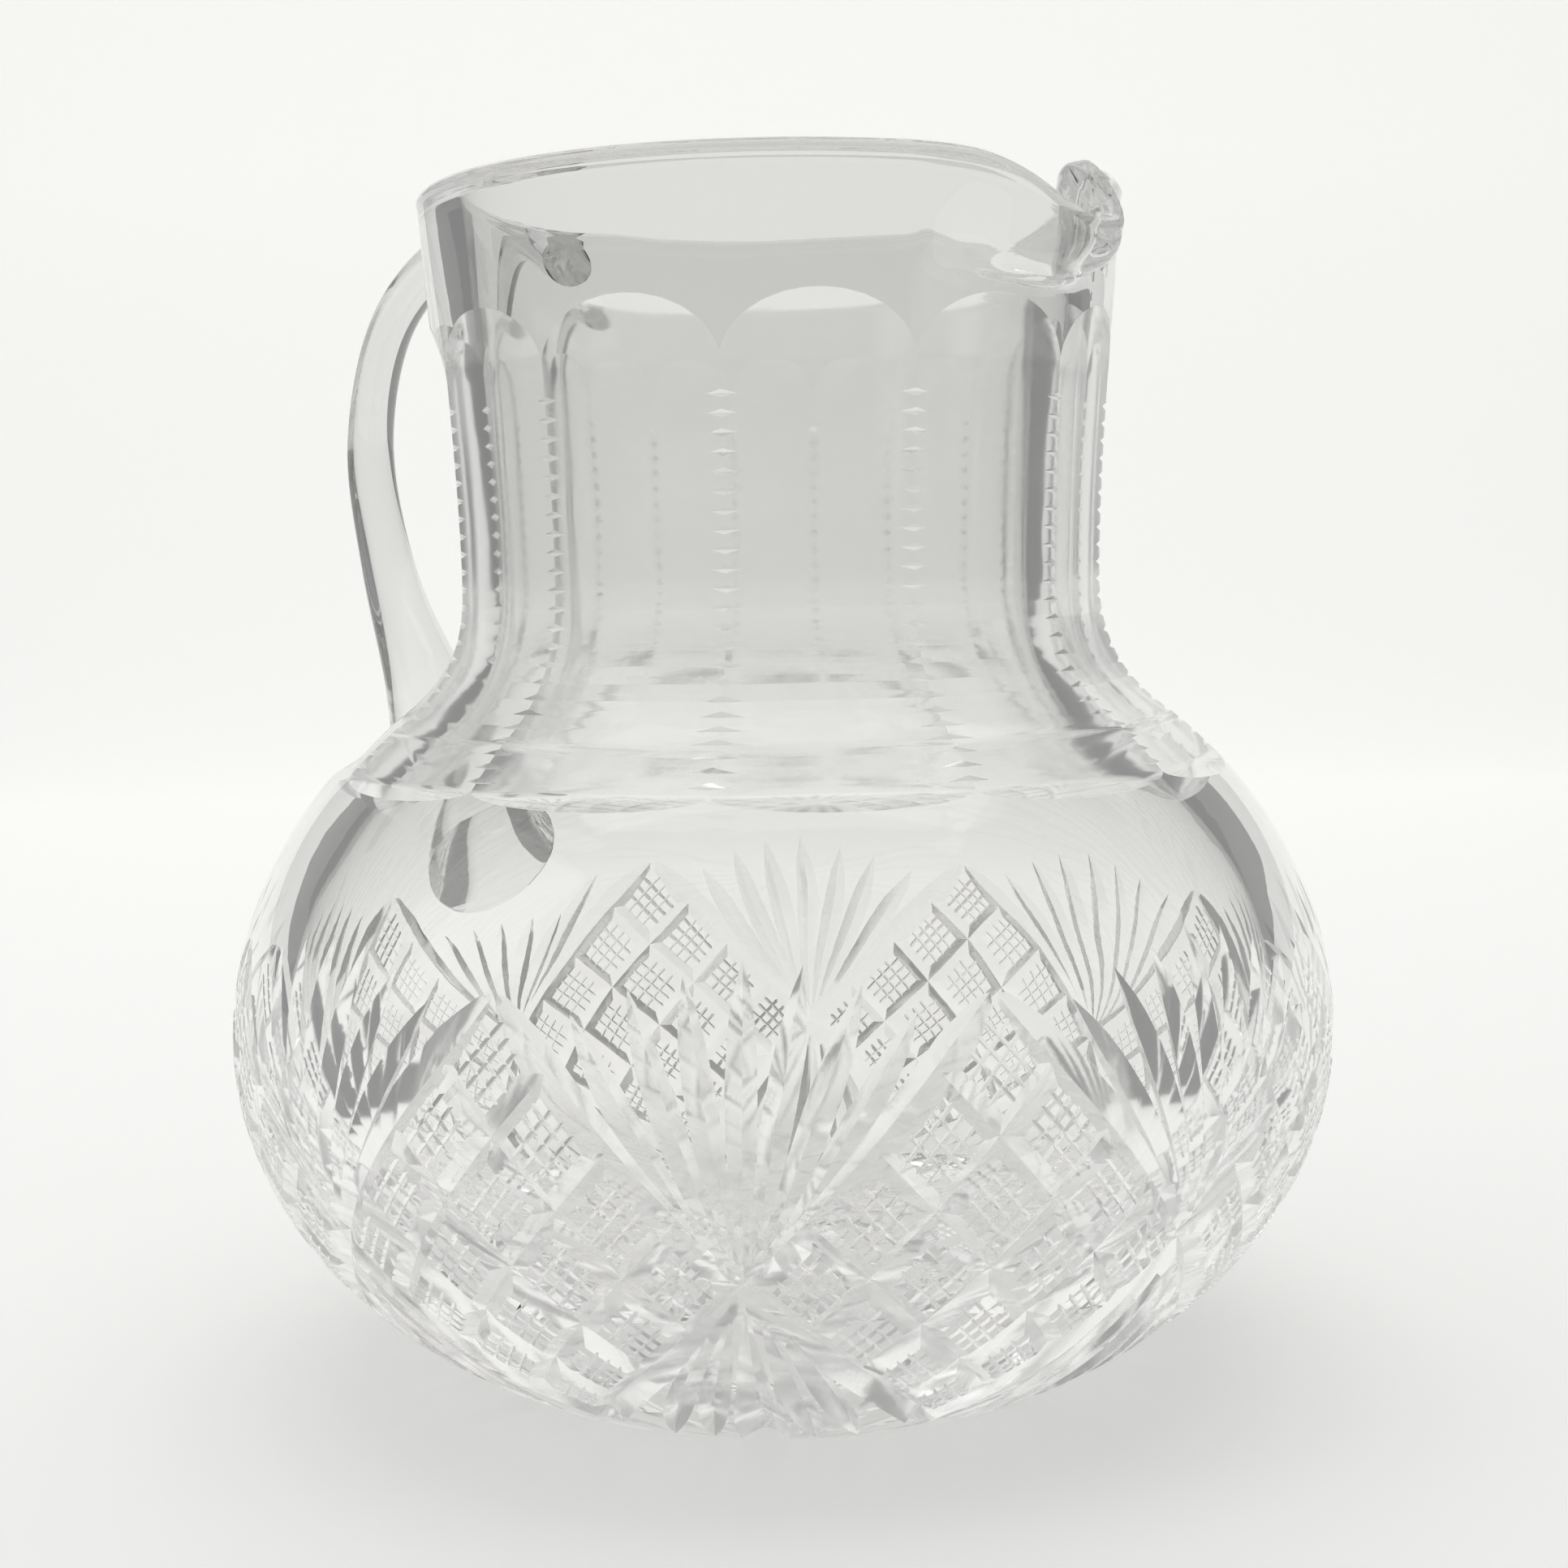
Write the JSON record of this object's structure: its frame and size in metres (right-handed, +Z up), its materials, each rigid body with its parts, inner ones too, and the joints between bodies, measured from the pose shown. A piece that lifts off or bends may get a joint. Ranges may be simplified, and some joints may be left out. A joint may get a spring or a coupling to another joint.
{
  "type": "cut glass jug",
  "caption": "Cut-glass pouring jug: round bulb body, fluted neck, pinched pouring lip and an applied loop handle.",
  "frame": {"origin": "centre of the flat base that the jug stands on", "axes": "+Z up along the jug's axis, +X towards the pouring lip, so the handle is on the -X side"},
  "size_m": [0.1747, 0.154, 0.1657],
  "materials": {
    "cut_crystal": "polished, mitre cut",
    "applied_crystal": "fire polished"
  },
  "bodies": {
    "root": {"jug_body": "cut_crystal", "handle": "applied_crystal"}
  },
  "joints": []
}
